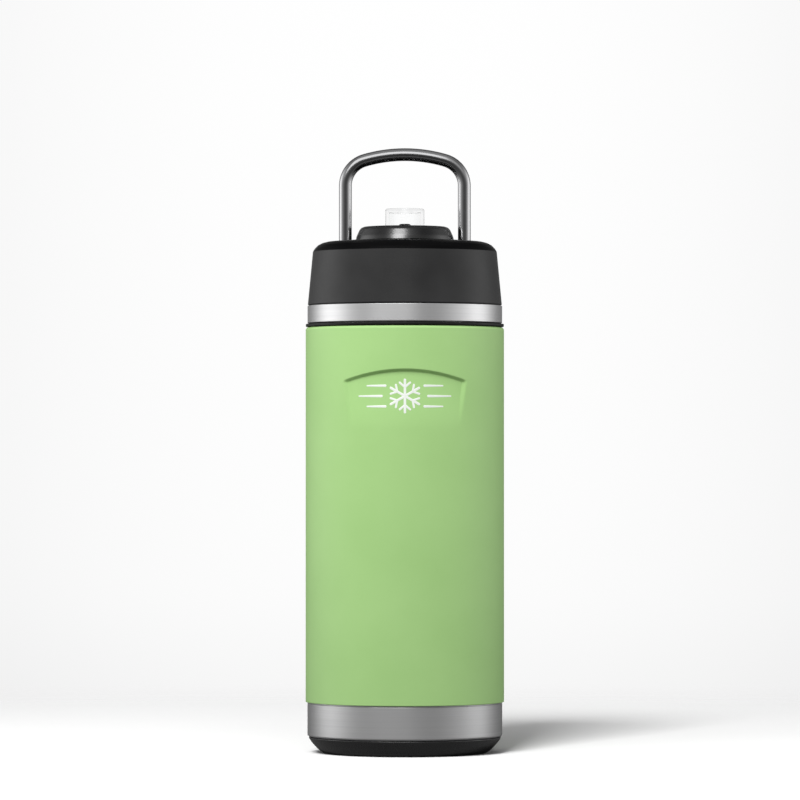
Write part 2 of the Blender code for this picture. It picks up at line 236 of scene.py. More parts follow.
GREEN = paint("green_powder_coat", (0.426, 0.693, 0.265), (0.397, 0.660, 0.243))
BAND = turned_steel("turned_band_steel", (0.565, 0.565, 0.568), (0.62, 0.62, 0.623), 0.32, 0.37, 0.6, 0.5, 0.74)
FOOT_BAND = turned_steel("turned_foot_steel", (0.51, 0.51, 0.513), (0.565, 0.565, 0.568), 0.33, 0.38, 0.6, 0.5, 0.76)
VESSEL = turned_steel("vessel_steel", (0.50, 0.50, 0.50), (0.60, 0.60, 0.60), 0.24, 0.33, 0.4, 0.5)
ROD = satin_steel("handle_steel", (0.41, 0.41, 0.415), 0.17, fine=260.0, depth=0.0)
PIN = satin_steel("pin_steel", (0.55, 0.55, 0.55), 0.25)
MARK = plastic("mark_silver_ink", (0.88, 0.92, 0.86), 0.35, 2600.0, 0.000006, 0.6, 0.03)
LID_SIDE = plastic("lid_side_plastic", (0.0265, 0.0265, 0.0268), 0.34, 2100.0, 0.00002, 0.19)
# the lid top's finer, smoother grain is its own finish, but its tone, about ten times darker than the side's, is
# painted shade that keeps the up-facing shoulder dark
LID_TOP = plastic("lid_top_plastic_painted_shade", (0.0024, 0.0024, 0.0026), 0.30, 5200.0, 0.000006, 0.04)
LINER = plastic("liner_plastic", (0.022, 0.022, 0.023), 0.33, 3800.0, 0.00001)
RING = plastic("ring_rubber", (0.006, 0.006, 0.006), 0.5, 2600.0, 0.00002, 0.2)
PAD = plastic("pad_rubber", (0.009, 0.009, 0.0095), 0.29, 2300.0, 0.00002, 1.0)
DISC = gloss("disc_gloss", (0.002, 0.002, 0.0022), 0.24, 0.62)
DISC_TOP = plastic("disc_top_satin", (0.004, 0.004, 0.0042), 0.5, 5200.0, 0.000006, 0.12)
SEAL = plastic("silicone", (0.50, 0.51, 0.51), 0.5, 3000.0, 0.00001, 0.4, 0.04)
CLEAR = clear("clear_plastic")
NYLON = plastic("nylon", (0.70, 0.70, 0.66), 0.4, 3000.0, 0.00001, 0.5, 0.03)
FOAM = plastic("foam", (0.78, 0.78, 0.75), 0.9, 900.0, 0.00025, 0.1, 0.05)
FOIL = satin_steel("foil", (0.80, 0.80, 0.81), 0.2, fine=400.0)


# ---- mesh helpers -----------------------------------------------------------
def finish_piece(name, mesh, mats, body, nodes=(), sharp=32.0):
    obj = bpy.data.objects.new(name, mesh)
    scene.collection.objects.link(obj)
    for m in mats:
        mesh.materials.append(m)
    mesh.shade_smooth()
    mesh.set_sharp_from_angle(angle=math.radians(sharp))
    if body:
        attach(obj, body)
    if nodes:
        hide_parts(*nodes)
    return obj


def rounded(points, closed=True, step=24.0):
    """Profile points (r, z[, fillet radius[, material]]) -> plain points with arcs at their corners, and a material per point.
    A long straight run gets an extra point close to each arc, so that smooth shading leaves it straight."""
    n = len(points)
    kinds = []
    for p in points:
        kinds.append(p[3] if len(p) > 3 else (kinds[-1] if kinds else 0))
    corners = []
    for i, p in enumerate(points):
        c = Vector(p[:2])
        f = p[2] if len(p) > 2 else 0.0
        a, b = Vector(points[i - 1][:2]), Vector(points[(i + 1) % n][:2])
        u, v = (a - c), (b - c)
        if f <= 0 or (not closed and i in (0, n - 1)):
            corners.append((c, 0.0, u, v, 0.0))
            continue
        half = u.angle(v) / 2
        cut = min(f / math.tan(half), u.length * 0.499, v.length * 0.499)
        corners.append((c, cut, u, v, half))
    out, mats = [], []
    for i, (c, cut, u, v, half) in enumerate(corners):
        m = kinds[i]
        if cut <= 0:
            out.append((c.x, c.y))
            mats.append(m)
            continue
        before = u.length - cut - corners[i - 1][1]
        after = v.length - cut - corners[(i + 1) % n][1]
        u, v = u.normalized(), v.normalized()
        r = cut * math.tan(half)
        centre = c + (u + v).normalized() * (r / math.sin(half))
        s, e = c + u * cut - centre, c + v * cut - centre
        turn = s.angle_signed(e)
        k = max(2, math.ceil(abs(math.degrees(turn)) / step))
        if before > 0.8:
            q = c + u * (cut + min(0.2, before * 0.2))
            out.append((q.x, q.y))
            mats.append(kinds[i - 1])
        for j in range(k + 1):
            q = centre + Matrix.Rotation(-turn * j / k, 2) @ s
            out.append((q.x, q.y))
            mats.append(m)
        if after > 0.8:
            q = c + v * (cut + min(0.2, after * 0.2))
            out.append((q.x, q.y))
            mats.append(m)
    return out, mats


def lathe_mesh(name, points, angles=192, displace=None):
    """Mesh of a closed profile turned round Z. points as rounded() takes them; angles is a count or a list of radians."""
    profile, mats = rounded(points)
    if isinstance(angles, int):
        angles = [2 * math.pi * j / angles for j in range(angles)]
    bm = bmesh.new()
    rings = []
    for r, z in profile:
        if r < 1e-6:
            rings.append([bm.verts.new((0, 0, z * MM))])
            continue
        ring = []
        for a in angles:
            rr = r - (displace(r, a, z) if displace else 0.0)
            ring.append(bm.verts.new((rr * math.cos(a) * MM, rr * math.sin(a) * MM, z * MM)))
        rings.append(ring)
    k = len(angles)
    for i, a in enumerate(rings):
        b = rings[(i + 1) % len(rings)]
        if len(a) == 1 and len(b) == 1:
            continue
        for j in range(k):
            j2 = (j + 1) % k
            if len(a) == 1:
                f = bm.faces.new((a[0], b[j2], b[j]))
            elif len(b) == 1:
                f = bm.faces.new((a[j], a[j2], b[0]))
            else:
                f = bm.faces.new((a[j], a[j2], b[j2], b[j]))
            f.material_index = mats[i]
    bmesh.ops.recalc_face_normals(bm, faces=bm.faces)
    mesh = bpy.data.meshes.new(name)
    bm.to_mesh(mesh)
    bm.free()
    return mesh


def lathe(name, points, mats, body, nodes=(), angles=192, at=(0, 0, 0), along=(0, 0, 1), displace=None, sharp=32.0):
    mesh = lathe_mesh(name, points, angles, displace)
    if tuple(along) != (0, 0, 1):
        mesh.transform(Vector((0, 0, 1)).rotation_difference(Vector(along)).to_matrix().to_4x4())
    mesh.transform(Matrix.Translation(Vector(at) * MM))
    return finish_piece(name, mesh, mats if isinstance(mats, (list, tuple)) else [mats], body, nodes, sharp)


def cutter(mesh):
    obj = bpy.data.objects.new(mesh.name, mesh)
    scene.collection.objects.link(obj)
    return obj


def carve(obj, tools):
    """Applies booleans (tool mesh, operation) one after the other and leaves a plain mesh."""
    helpers = []
    for mesh, operation in tools:
        tool = cutter(mesh)
        helpers.append(tool)
        m = obj.modifiers.new("cut", "BOOLEAN")
        m.object, m.operation, m.solver = tool, operation, "EXACT"
    bpy.context.view_layer.update()
    graph = bpy.context.evaluated_depsgraph_get()
    result = bpy.data.meshes.new_from_object(obj.evaluated_get(graph))
    obj.modifiers.clear()
    old = obj.data
    obj.data = result
    bpy.data.meshes.remove(old)
    for t in helpers:
        data = t.data
        bpy.data.objects.remove(t)
        bpy.data.meshes.remove(data)
    return obj


def slab_mesh(name, outline, x0, x1):
    bm = bmesh.new()
    ends = [[bm.verts.new((x * MM, y * MM, z * MM)) for y, z in outline] for x in (x0, x1)]
    n = len(outline)
    for i in range(n):
        j = (i + 1) % n
        bm.faces.new((ends[0][i], ends[0][j], ends[1][j], ends[1][i]))
    bm.faces.new(ends[0])
    bm.faces.new(ends[1])
    bmesh.ops.recalc_face_normals(bm, faces=bm.faces)
    mesh = bpy.data.meshes.new(name)
    bm.to_mesh(mesh)
    bm.free()
    return mesh


def prism_mesh(name, outline, z0, z1):
    mesh = slab_mesh(name, [(x, y) for x, y in outline], z0, z1)
    # slab runs along X with (y, z) outlines; turn it so that it runs along Z with (x, y) outlines
    mesh.transform(Matrix(((0, 1, 0, 0), (0, 0, 1, 0), (1, 0, 0, 0), (0, 0, 0, 1))))
    return mesh


def thread_mesh(name, root, crest, bury, z0, wide, narrow, lead, turns, steps, start, mats=()):
    """A thread ridge; its faces take the last of mats."""
    bm = bmesh.new()
    count = round(turns * steps)
    rings = []
    run = steps * 0.09
    for i in range(count + 1):
        a = 2 * math.pi * (i / steps) + start
        z = z0 + lead * i / steps
        ease = min(1.0, i / run, (count - i) / run)
        ease = ease * ease * (3 - 2 * ease)
        top = root + (crest - root) * max(ease, 0.03)
        low = root + bury
        mid = root + (top - root) * 0.8
        ring = []
        for r, w in ((low, wide * 1.15), (mid, narrow * 1.35), (top, narrow * 0.8), (top, -narrow * 0.8), (mid, -narrow * 1.35), (low, -wide * 1.15)):
            ring.append(bm.verts.new((r * math.cos(a) * MM, r * math.sin(a) * MM, (z + w / 2) * MM)))
        rings.append(ring)
    for a, b in zip(rings, rings[1:]):
        for k in range(6):
            bm.faces.new((a[k], a[(k + 1) % 6], b[(k + 1) % 6], b[k]))
    bm.faces.new(rings[0])
    bm.faces.new(list(reversed(rings[-1])))
    bmesh.ops.recalc_face_normals(bm, faces=bm.faces)
    mesh = bpy.data.meshes.new(name)
    bm.to_mesh(mesh)
    bm.free()
    for m in mats:
        mesh.materials.append(m)
    for f in mesh.polygons:
        f.material_index = max(0, len(mats) - 1)
    return mesh


def smooth01(t):
    t = min(1.0, max(0.0, t))
    return t * t * (3 - 2 * t)


# ---- bottle -------------------------------------------------------------------
BODY_R, SHELL_T = 38.0, 0.55
RECESS_TOP, RECESS_DROP, RECESS_HALF = 146.7, 4.0, 22.4
RECESS_FOOT, RECESS_DEPTH = 124.0, 1.48


def recess(x, z):
    """Depth in mm of the arched recess at a point of the front, from its x and height."""
    if abs(x) > RECESS_HALF + 2 or z > RECESS_TOP + 1 or z < RECESS_FOOT - 1:
        return 0.0
    top = RECESS_TOP - RECESS_DROP * (x / RECESS_HALF) ** 2
    side = RECESS_HALF + 0.4 - (RECESS_TOP - RECESS_DROP - z) * 0.13
    lip = smooth01((top - z) / 1.42)
    flank = smooth01((side - abs(x)) / 1.6 + 0.5)
    fade = smooth01((z - RECESS_FOOT) / (top - RECESS_FOOT)) ** 0.9
    return RECESS_DEPTH * lip * flank * fade * (1 - 0.25 * (x / RECESS_HALF) ** 2)


def shell_displace(r, a, z):
    if r < BODY_R - 0.01 or math.sin(a) > -0.6:
        return 0.0
    return recess(r * math.cos(a), z)


def shell_angles():
    out, a = [], 0.0
    front = math.radians(270)
    while a < 2 * math.pi - 1e-6:
        out.append(a)
        a += math.radians(0.3 if abs(a + 1e-7 - front) < math.radians(39) else 3.0)
    return out


wall = [(BODY_R, z, 0, 0) for z in (24, 60, 100, 116)]
wall += [(BODY_R, RECESS_FOOT - 2 + 0.5 * i, 0, 0) for i in range(34)]
wall += [(BODY_R, 139.0 + 0.12 * i, 0, 0) for i in range(66)]
wall += [(BODY_R, z, 0, 0) for z in (148.5, 152, 158)]
shell = (
    [(BODY_R - SHELL_T, 19.5, 0.15, 1), (BODY_R, 19.5, 0.4, 0)]
    + wall
    + [(BODY_R, 162.1, 0.3, 0), (37.4, 162.85, 0.3, 0), (31.4, 162.95, 0, 0), (31.0, 162.95, 0, 1), (29.2, 162.95, 0, 1), (27.25, 163.25, 1.0, 1)]
    + [(27.2, 180.2, 0.2, 1), (26.7, 180.2, 0.2, 1), (26.7, 163.7, 0.6, 1), (27.6, 162.6, 0.4, 1), (36.1, 162.2, 0.6, 1), (36.45, 160.8, 0.6, 1)]
    + [(36.45, 28.0, 0.2, 1), (BODY_R - SHELL_T, 26.0, 0.2, 1)]
)
outer = lathe("shell_painted", shell, [GREEN, VESSEL], "flask", ["outer_shell"], shell_angles(), displace=shell_displace)
lathe_cup = [
    (1.3, 4.8, 0, 0), (22.6, 4.8, 0.8, 0), (24.6, 2.4, 0.8, 0), (30.6, 2.4, 1.5, 0), (33.4, 3.7, 1.0, 0), (35.1, 5.3, 0.8, 0),
    (35.5, 6.5, 0.3, 0), (36.9, 6.5, 0.4, 0), (37.3, 6.9, 0.5, 0), (37.3, 18.9, 0.25, 0), (37.1, 19.2, 0.1, 0), (37.1, 25.0, 0.1, 0),
    (36.6, 25.0, 0.1, 0), (36.6, 7.1, 0.2, 0), (35.1, 7.0, 0.2, 0), (34.6, 5.6, 0.5, 0), (33.1, 4.2, 0.5, 0), (30.4, 2.9, 0.6, 0), (24.9, 2.9, 0.5, 0), (22.8, 5.3, 0.5, 0), (1.3, 5.3, 0, 0),
]
lathe("base_band", lathe_cup, FOOT_BAND, "flask", ["base_cup"], 256)
pad = [
    (0, 0.8), (7.0, 0.8), (7.4, 1.1, 0.1), (8.2, 1.1, 0.1), (8.6, 0.8), (22.9, 0.8, 0.3), (24.2, 0.0, 0.4), (31.0, 0.0, 1.2), (33.0, 1.25, 1.6), (35.1, 3.45, 2.0), (36.4, 5.2, 0.8), (36.9, 6.2, 0.25),
    (35.75, 6.2, 0.15), (35.4, 5.0, 0.4), (33.6, 3.4, 0.6), (30.7, 2.1, 0.4), (0, 2.1),
]
lathe("base_foot", pad, PAD, "flask", ["base_pad"], 224)
lathe("shoulder_seal", [(30.0, 163.2, 0.1), (37.95, 163.15, 0.2), (37.95, 164.2, 0.2), (30.0, 164.2, 0.1)], RING, "flask", ["shoulder_ring"], 224)

LINER_R, LINER_T, MOUTH_R, RIM_Z = 34.5, 0.5, 25.0, 181.0
vessel = [
    (0, 10.4), (28.0, 10.4, 3.0), (33.4, 11.6, 3.0), (LINER_R + LINER_T, 16.4, 3.0), (LINER_R + LINER_T, 154.5, 4.0),
    (32.8, 159.4, 3.0), (26.6, 161.5, 2.0), (MOUTH_R + LINER_T, 164.0, 0.8), (MOUTH_R + LINER_T, RIM_Z - 0.6, 0.2),
    (27.2, RIM_Z - 0.6, 0.1), (27.2, RIM_Z, 0.35), (MOUTH_R, RIM_Z, 0.35), (MOUTH_R, 163.7, 0.8), (26.2, 161.0, 1.6), (32.3, 158.9, 3.0),
    (LINER_R, 154.2, 4.0), (LINER_R, 16.6, 4.0), (32.8, 12.2, 3.0), (27.8, 10.9, 3.0), (0, 10.9),
]
lathe("inner_vessel", vessel, VESSEL, "flask", ["inner_flask"], 192)
lathe("foil_wrap", [(35.75, 20.0), (35.9, 20.0), (35.9, 152.0), (35.75, 152.0)], FOIL, "flask", ["radiation_foil"], 96)
lathe("getter_capsule", [(0, 7.2), (6.0, 7.2, 0.8), (6.0, 10.1, 0.2), (0, 10.1)], PIN, "flask", ["getter"], 48)
lathe("port_plug", [(0, 3.6), (4.0, 3.6, 0.4), (4.0, 4.5, 0.1), (0, 4.5)], PIN, "flask", ["vacuum_port_plug"], 48)

LEAD, TURNS, THREAD_Z = 5.0, 1.25, 168.4
carve(outer, [(thread_mesh("neck_thread", 27.2, 28.3, -0.3, THREAD_Z, 2.2, 1.0, LEAD, TURNS, 120, 0.0, (GREEN, VESSEL)), "UNION")])
outer.data.set_sharp_from_angle(angle=math.radians(32))


# ---- mark: a plain snowflake between two bars -----------------------------------
def on_front(x, z, lift):
    r = BODY_R - recess(x, z) + lift
    return Vector((x, -math.sqrt(max(0.0, r * r - x * x)), z)) * MM


def stroke(bm, a, b, width, taper=1.0):
    """A thin raised bar on the front from a to b (x, z), following its curve."""
    a, b = Vector(a), Vector(b)
    d = (b - a).normalized()
    side = Vector((-d.y, d.x))
    n = max(2, math.ceil((b - a).length / 0.35))
    rows = []
    caps = 4
    stations = [(-math.sin(math.pi / 2 * (caps - i) / caps), math.cos(math.pi / 2 * (caps - i) / caps)) for i in range(caps)]
    line = []
    for s, w in stations:
        line.append((a + d * (s * width / 2), max(w, 0.06) * width / 2))
    for i in range(n + 1):
        line.append((a + (b - a) * (i / n), width / 2 * (1 + (taper - 1) * i / n)))
    for s, w in reversed(stations):
        line.append((b - d * (s * width * taper / 2), max(w, 0.06) * width * taper / 2))
    for p, w in line:
        row = []
        for off, lift in ((1, -0.10), (1, 0.02), (0.72, 0.05), (0, 0.055), (-0.72, 0.05), (-1, 0.02), (-1, -0.10)):
            q = p + side * (w * off)
            row.append(bm.verts.new(on_front(q.x, q.y, lift)))
        rows.append(row)
    for r, s in zip(rows, rows[1:]):
        for k in range(7):
            bm.faces.new((r[k], r[(k + 1) % 7], s[(k + 1) % 7], s[k]))
    bm.faces.new(rows[0])
    bm.faces.new(list(reversed(rows[-1])))


def mark_piece(name, strokes):
    bm = bmesh.new()
    for s in strokes:
        stroke(bm, *s)
    bmesh.ops.recalc_face_normals(bm, faces=bm.faces)
    mesh = bpy.data.meshes.new(name)
    bm.to_mesh(mesh)
    bm.free()
    return finish_piece(name, mesh, [MARK], "flask")


MARK_Z, ARM, BAR = 136.2, 6.1, 0.95
centre = Vector((0, MARK_Z))
strokes = []
for k in range(6):
    d = Vector((math.cos(math.radians(90 + 60 * k)), math.sin(math.radians(90 + 60 * k))))
    n = Vector((-d.y, d.x))
    strokes.append((centre + d * 0.25, centre + d * ARM, BAR))
    for s in (-1, 1):
        root = centre + d * (ARM * 0.55)
        strokes.append((root + d * 0.1 + n * s * 0.1, root + d * 1.7 + n * s * 1.95, BAR * 0.85))
mark_piece("front_mark_flake", strokes)
bars = []
for s in (-1, 1):
    for dz, start, end in ((3.9, 7.4, 14.2), (0.0, 8.8, 17.2), (-3.9, 7.4, 14.2)):
        bars.append(((s * start, MARK_Z + dz), (s * end, MARK_Z + dz), BAR, 0.6))
mark_piece("front_mark_bars", bars)

# ---- lid -------------------------------------------------------------------------
LID_STEP_Z, LID_EDGE_Z, LID_TOP_Z = 171.45, 191.9, 195.8
PIVOT_Z, SLOT_LOW, SLOT_HIGH, EYE_POCKET = 191.0, 20.0, 25.8, 4.1
lid_profile = [
    (34.7, 165.4, 0.2, 0), (36.5, 165.4, 0.2, 0), (36.5, LID_STEP_Z, 0.1, 0), (37.2, LID_STEP_Z, 0.35, 0),
    (35.25, 191.9, 0.25, 1), (34.5, 193.1, 1.2, 1), (33.3, 194.3, 1.5, 1), (31.7, 195.15, 2.0, 1), (29.9, 195.6, 3.0, 1), (27.5, LID_TOP_Z, 4.0, 1),
    (9.9, LID_TOP_Z, 0.1, 1), (9.9, 194.1, 0.1, 1), (29.6, 194.1, 1.0, 1), (32.2, 192.8, 1.0, 1), (33.3, 191.0, 1.0, 1), (34.8, 174.0, 0.5, 1), (34.7, 171.0, 0, 1),
]
lid = lathe("lid_cover", lid_profile, [LID_SIDE, LID_TOP], "lid", ["lid_shell"], 256)
envelope = [(0, 180.0), (35.8, 180.0), (34.6, 191.8), (33.3, 193.4), (31.2, 194.8), (28.0, 195.6), (0, 195.6)]
tools = []
for s in (-1, 1):

    def plan(points, mirror=s):
        flipped = [(mirror * x, y) for x, y in points]
        return flipped if mirror > 0 else flipped[::-1]

    block = finish_piece(f"block_{s}", prism_mesh("block", plan([(18.2, -6.2), (27.8, -6.2), (27.8, 36), (18.2, 36)]), 185.3, 195.2), [LID_TOP], None)
    carve(block, [(lathe_mesh("envelope", envelope, 256), "INTERSECT")])
    tools.append((block.data.copy(), "UNION"))
    bpy.data.objects.remove(block)
for s in (-1, 1):

    def plan(points, mirror=s):
        flipped = [(mirror * x, y) for x, y in points]
        return flipped if mirror > 0 else flipped[::-1]

    lip = [(EYE_POCKET * math.cos(a), PIVOT_Z + EYE_POCKET * math.sin(a)) for a in [math.radians(135 + 180 * i / 30) for i in range(31)]]
    tools.append((slab_mesh("slot", [(lip[0][0], 205.0)] + lip + [(45.0, lip[-1][1]), (45.0, 205.0)], *sorted((s * SLOT_LOW, s * SLOT_HIGH))), "DIFFERENCE"))
    tools.append((prism_mesh("flare", plan([(18.4, 31.0), (20.5, 23.4), (23.0, 23.4), (23.0, 45), (18.4, 45)]), lip[-1][1], 206.0), "DIFFERENCE"))
    hole = lathe_mesh("hole", [(0, 0), (1.75, 0), (1.75, 14.0), (0, 14.0)], 36)
    hole.transform(Matrix.Rotation(math.radians(90), 4, "Y"))
    hole.transform(Matrix.Translation(Vector((16.0 if s > 0 else -30.0, 0, PIVOT_Z)) * MM))
    tools.append((hole, "DIFFERENCE"))
carve(lid, tools)
bevel = lid.modifiers.new("soft_edges", "BEVEL")
bevel.width, bevel.segments, bevel.limit_method, bevel.angle_limit = 0.00022, 2, "ANGLE", math.radians(40)
bevel.harden_normals = False
lid.data.set_sharp_from_angle(angle=math.radians(32))

lathe(
    "lid_steel_band",
    [(35.2, 164.5, 0.1), (37.3, 164.5, 0.3), (37.3, 171.15, 0.1), (36.8, 171.15), (36.8, 165.0), (35.2, 165.0)],
    BAND, "lid", ["lid_band"], 256,
)
liner = lathe(
    "lid_threaded_liner",
    [(28.9, 165.7, 0.5), (34.4, 165.7, 0.3), (34.4, 167.5, 0.3), (31.0, 167.5, 0.4), (31.0, 184.8, 0.6), (9.6, 184.8), (9.6, 182.8), (22.9, 182.8, 0.4),
     (22.9, 176.2, 0.5), (24.5, 176.2, 0.5), (24.5, 182.8, 0.2), (28.9, 182.8, 0.4)],
    LINER, "lid", ["lid_liner"], 120,
)
vent = lathe_mesh("vent", [(0, 180), (1.6, 180), (1.6, 190), (0, 190)], 36)
vent.transform(Matrix.Translation(Vector((0, 16.5, 0)) * MM))
carve(liner, [(vent, "DIFFERENCE"), (thread_mesh("lid_thread", 28.9, 27.8, 0.3, THREAD_Z + LEAD / 2 - 1.6, 2.0, 0.9, LEAD, TURNS, 120, math.pi), "UNION")])
liner.data.set_sharp_from_angle(angle=math.radians(32))
lathe("rim_gasket", [(24.9, 181.3, 0.3), (27.6, 181.3, 0.3), (27.6, 182.5, 0.3), (24.9, 182.5, 0.3)], SEAL, "lid_carrier", ["lid_gasket"], 144)
lathe("foam_sleeve", [(31.3, 167.8), (34.0, 167.8), (33.5, 184.0), (31.3, 184.0)], FOAM, "lid", ["foam_ring"], 64)
lathe("foam_core", [(9.8, 185.1), (14.0, 185.1), (14.0, 193.7), (9.8, 193.7)], FOAM, "lid", ["foam_disc"], 48)

# ---- spout ------------------------------------------------------------------------
DISC_Z, DISC_R, SPOUT_R, SPOUT_TOP = 196.1, 18.9, 7.45, 208.4
disc = [
    (9.3, 179.0, 0.2), (9.3, DISC_Z), (11.0, DISC_Z), (11.0, 199.5, 0.4), (16.0, 199.5, 0.4), (16.7, DISC_Z), (DISC_R, DISC_Z, 0.25),
    (18.5, 197.8, 3.0), (17.35, 200.3, 1.5), (16.7, 201.0, 1.0), (15.7, 201.45, 1.2, 1), (8.4, 201.65, 0.3, 1), (7.85, 201.1, 0.2, 1), (7.85, 186.0, 0.4, 1), (4.6, 186.0, 0.3, 1), (4.6, 200.95, 0.7, 1),
    (2.3, 201.1, 0.2, 1), (2.3, 202.6, 0.8, 1), (0, 202.6), (0, 199.6), (3.2, 199.6), (3.2, 184.7, 0.3), (7.6, 184.7, 0.3), (7.6, 179.0, 0.2),
]
spout_base = lathe("spout_disc", disc, [DISC, DISC_TOP], "lid", ["spout_base"], 160)
windows = []
for k in range(2):
    w = prism_mesh("window", [(-6.2, -1.1), (6.2, -1.1), (6.2, 1.1), (-6.2, 1.1)], 196.3, 199.0)
    w.transform(Matrix.Rotation(math.radians(45 + 90 * k), 4, "Z"))
    windows.append((w, "DIFFERENCE"))
carve(spout_base, windows)
spout_base.data.set_sharp_from_angle(angle=math.radians(32))
lathe(
    "spout_clear",
    [(5.95, 191.6, 0.2), (SPOUT_R, 191.6, 0.4), (SPOUT_R, SPOUT_TOP, 0.7), (2.6, SPOUT_TOP, 0.3), (2.6, SPOUT_TOP - 1.5, 0.25), (5.95, SPOUT_TOP - 1.5, 0.7)],
    CLEAR, "spout", ["spout"], 128, sharp=45.0,
)
lathe("plug_o_ring", [(5.27 + 0.5 * math.cos(a), 193.5 + 0.5 * math.sin(a)) for a in [2 * math.pi * i / 12 for i in range(12)]], SEAL, "lid", ["spout_o_ring"], 64, sharp=60)
lathe("spout_washer", [(9.6, 181.3, 0.2), (12.4, 181.3, 0.2), (12.4, 182.5, 0.2), (9.6, 182.5, 0.2)], SEAL, "lid", ["spout_gasket"], 64)
nut = lathe("spout_lock_nut", [(9.6, 178.9, 0.15), (13.0, 178.9, 0.4), (13.0, 181.0, 0.2), (9.6, 181.0)], LINER, "lid", ["spout_nut"], 72)
notches = []
for k in range(3):
    w = prism_mesh("notch", [(-16, -1.2), (16, -1.2), (16, 1.2), (-16, 1.2)], 177.5, 179.9)
    w.transform(Matrix.Rotation(math.pi * k / 3, 4, "Z"))
    notches.append((w, "DIFFERENCE"))
carve(nut, notches)
nut.data.set_sharp_from_angle(angle=math.radians(32))
lathe(
    "vent_plug",
    [(0, 181.7), (2.4, 181.7, 0.3), (3.1, 182.5, 0.1), (1.2, 182.5, 0.1), (1.2, 185.1, 0.1), (1.9, 185.1, 0.2), (1.5, 186.4, 0.3), (0, 186.6)],
    SEAL, "lid", ["vent_valve"], 48, at=(0, 16.5, 0),
)

# ---- bail handle ---------------------------------------------------------------------
BAIL_X, ROD_R, BAIL_TOP, CORNER, ARCH = 22.8, 2.45, 229.2, 10.2, 55.3
lean = math.asin((BAIL_X - CORNER) / (ARCH - CORNER))
bend_z = BAIL_TOP - ARCH + (ARCH - CORNER) * math.cos(lean)


def bail_half():
    out = [(Vector((BAIL_X, z)), Vector((0, 1)), w) for z, w in ((192.2, 1.95), (193.4, 1.95), (194.6, 1.96), (195.2, 2.2), (195.9, 2.4), (196.8, ROD_R))]
    for i in range(1, 13):
        out.append((Vector((BAIL_X, 196.8 + (bend_z - 196.8) * i / 12)), Vector((0, 1)), ROD_R))
    for i in range(1, 25):
        a = (math.pi / 2 - lean) * i / 24
        out.append((Vector((BAIL_X - CORNER + CORNER * math.cos(a), bend_z + CORNER * math.sin(a))), Vector((-math.sin(a), math.cos(a))), ROD_R))
    for i in range(1, 17):
        a = math.pi / 2 - lean + lean * i / 16
        out.append((Vector((ARCH * math.cos(a), BAIL_TOP - ARCH + ARCH * math.sin(a))), Vector((-math.sin(a), math.cos(a))), ROD_R))
    return out


right = bail_half()
path = right + [(Vector((-p.x, p.y)), Vector((d.x, -d.y)), w) for p, d, w in reversed(right[:-1])]
bm = bmesh.new()
rings = []
for p, d, w in path:
    across = Vector((d.y, -d.x))
    ring = []
    for k in range(40):
        a = 2 * math.pi * k / 40
        c = p + across * (w * math.cos(a))
        ring.append(bm.verts.new((c.x * MM, ROD_R * math.sin(a) * MM, c.y * MM)))
    rings.append(ring)
for a, b in zip(rings, rings[1:]):
    for k in range(40):
        bm.faces.new((a[k], a[(k + 1) % 40], b[(k + 1) % 40], b[k]))
bm.faces.new(rings[0])
bm.faces.new(list(reversed(rings[-1])))
bmesh.ops.recalc_face_normals(bm, faces=bm.faces)
mesh = bpy.data.meshes.new("handle_rod")
bm.to_mesh(mesh)
bm.free()
handle = finish_piece("handle_rod", mesh, [ROD], "handle", ["handle"], 40)
tools = []
for s in (-1, 1):
    for points, op in (([(0, -2.0), (3.5, -2.0, 0.4), (3.5, 2.0, 0.4), (0, 2.0)], "UNION"), ([(0, -6), (1.75, -6), (1.75, 6), (0, 6)], "DIFFERENCE")):
        m = lathe_mesh("eye", points, 56)
        m.transform(Matrix.Rotation(math.radians(90), 4, "Y"))
        m.transform(Matrix.Translation(Vector((s * BAIL_X, 0, PIVOT_Z)) * MM))
        tools.append((m, op))
tools.sort(key=lambda t: t[1] == "DIFFERENCE")
carve(handle, tools)
handle.data.set_sharp_from_angle(angle=math.radians(40))
for side, s in (("left", -1), ("right", 1)):
    lathe(f"hinge_pin_{side}", [(0, -4.5), (1.5, -4.5, 0.25), (1.5, 4.5, 0.25), (0, 4.5)], PIN, "lid", [f"handle_pin_{side}"], 40, at=(s * BAIL_X, 0, PIVOT_Z), along=(1, 0, 0))
    for place, x in (("inner", 20.25), ("outer", 25.05)):
        lathe(f"thrust_washer_{side}_{place}", [(1.75, 0), (3.3, 0, 0.1), (3.3, 0.5, 0.1), (1.75, 0.5)], NYLON, "lid", [f"washer_{side}_{place}"], 40,
              at=(x if s > 0 else -x - 0.5, 0, PIVOT_Z), along=(1, 0, 0))

# ---- floor and light -----------------------------------------------------------------
FLOOR = 3.0
bm = bmesh.new()
n = 24
grid = [[bm.verts.new((FLOOR * (2 * i / n - 1), FLOOR * (2 * j / n - 1), 0.0)) for j in range(n + 1)] for i in range(n + 1)]
for i in range(n):
    for j in range(n):
        bm.faces.new((grid[i][j], grid[i + 1][j], grid[i + 1][j + 1], grid[i][j + 1]))
mesh = bpy.data.meshes.new("floor")
bm.to_mesh(mesh)
bm.free()
floor = bpy.data.objects.new("floor", mesh)
scene.collection.objects.link(floor)
n = Nodes("floor_paper")
sep = n.add("ShaderNodeSeparateXYZ")
n.link(n.coords, sep.inputs[0])
away = n.add("ShaderNodeVectorMath", operation="LENGTH")
n.link(n.coords, away.inputs[0])
n.set(Base_Color=n.mix(n.noise(700.0, 2.0), (0.49, 0.49, 0.49), (0.51, 0.51, 0.51)), Roughness=0.9, Specular_IOR_Level=0.1)
fade = n.add("ShaderNodeMapRange", interpolation_type="SMOOTHSTEP")
n.link(away.outputs["Value"], fade.inputs["Value"])
for k, v in (("From Min", 0.22), ("From Max", 0.62), ("To Min", 0.0), ("To Max", 1.0)):
    fade.inputs[k].default_value = v
see = n.add("ShaderNodeBsdfTransparent")
